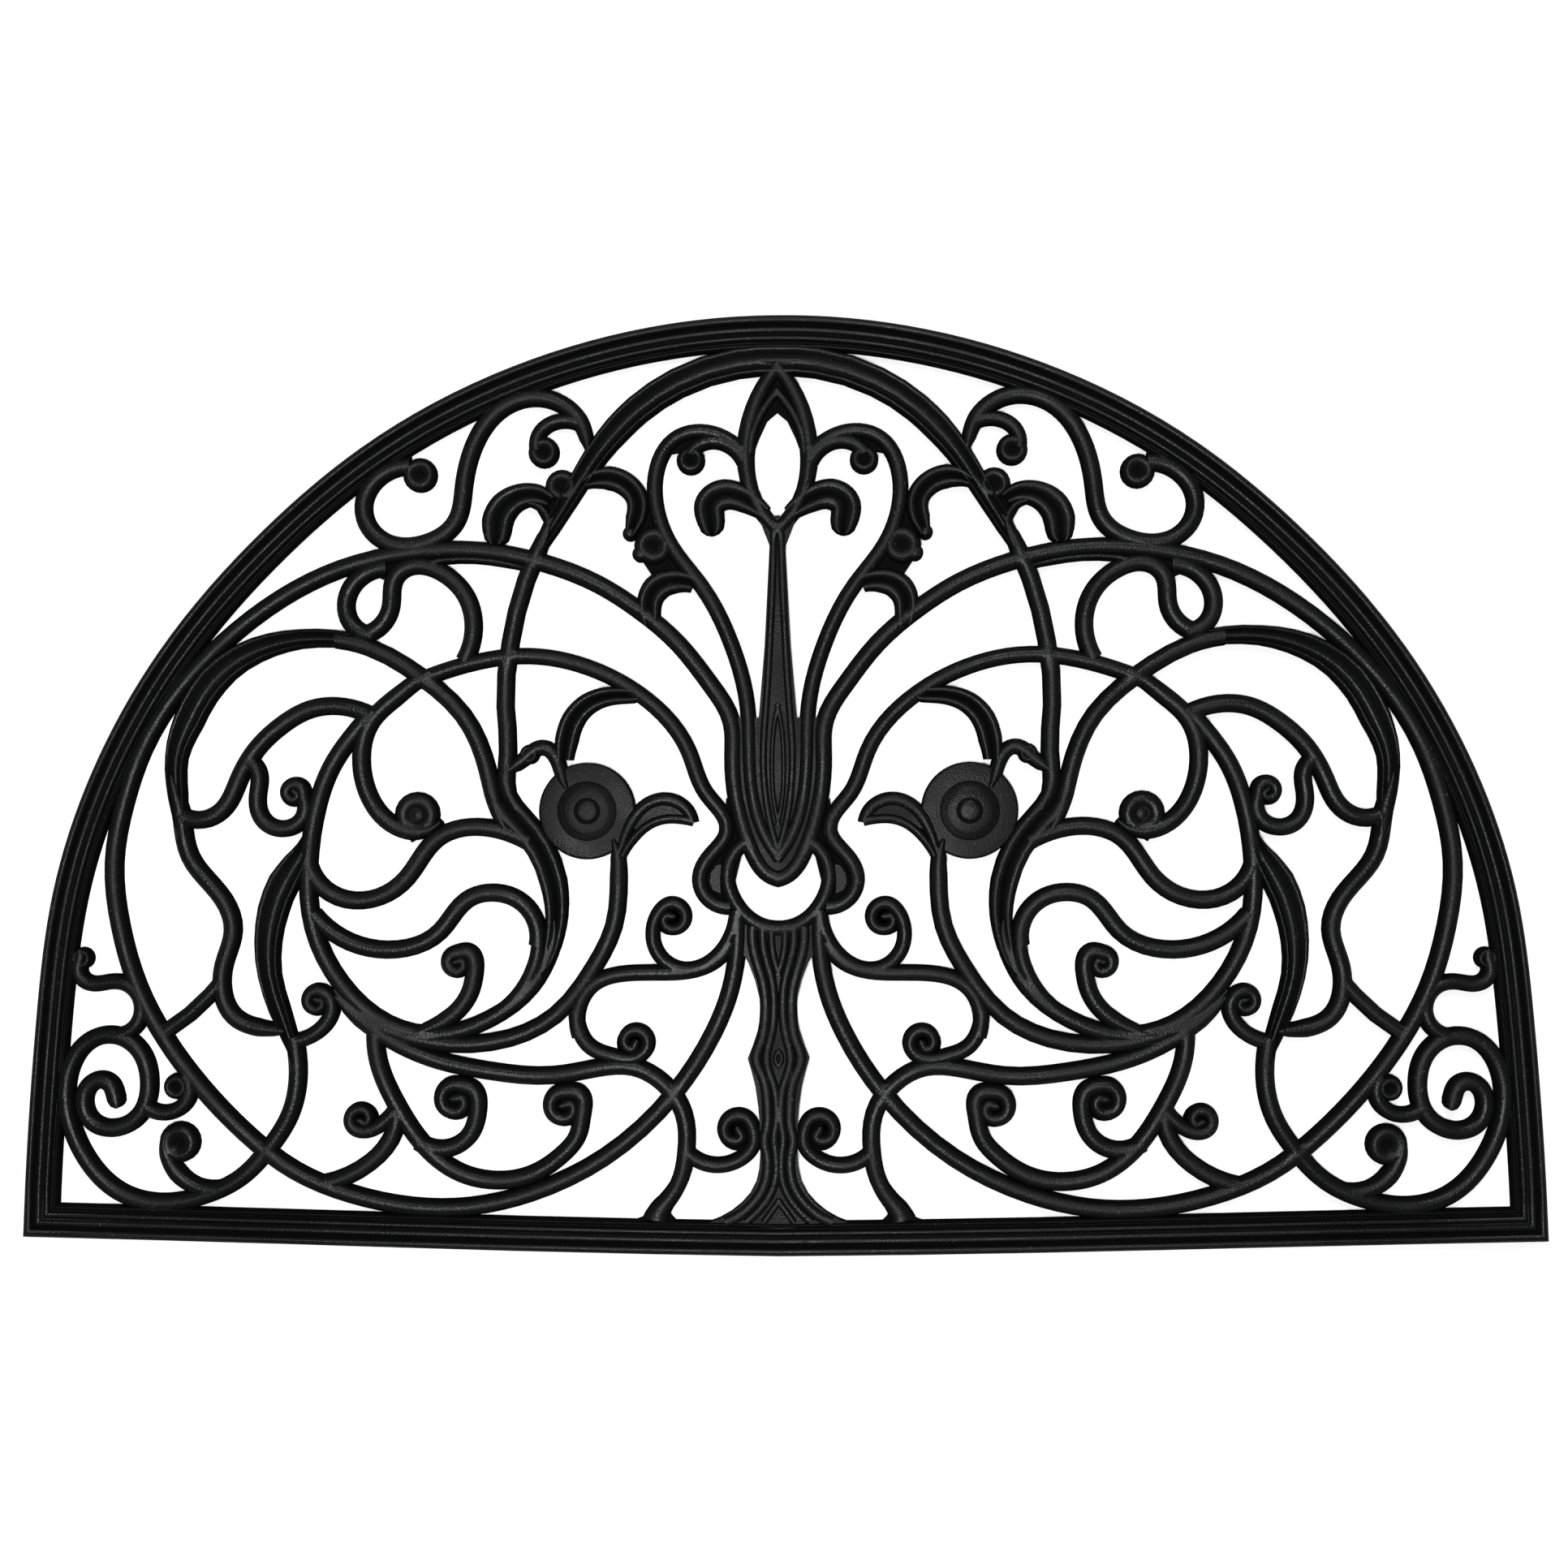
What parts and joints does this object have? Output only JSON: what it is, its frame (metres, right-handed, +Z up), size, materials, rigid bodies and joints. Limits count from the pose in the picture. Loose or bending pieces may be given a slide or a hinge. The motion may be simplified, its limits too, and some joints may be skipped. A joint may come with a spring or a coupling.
{
  "type": "doormat",
  "caption": "Half-round openwork doormat of moulded black rubber, with a ribbed rim and scrolling bars in the manner of wrought iron.",
  "frame": {"origin": "middle of the outline's bounding box, on the floor under the mat", "axes": "+X along the straight front edge, +Y from the straight edge to the round one, +Z up from the floor"},
  "size_m": [0.762, 0.47, 0.008],
  "materials": {
    "mat": "satin black moulded rubber, smooth on the crests of the bars"
  },
  "bodies": {
    "root": {"mat": "mat"}
  },
  "joints": []
}
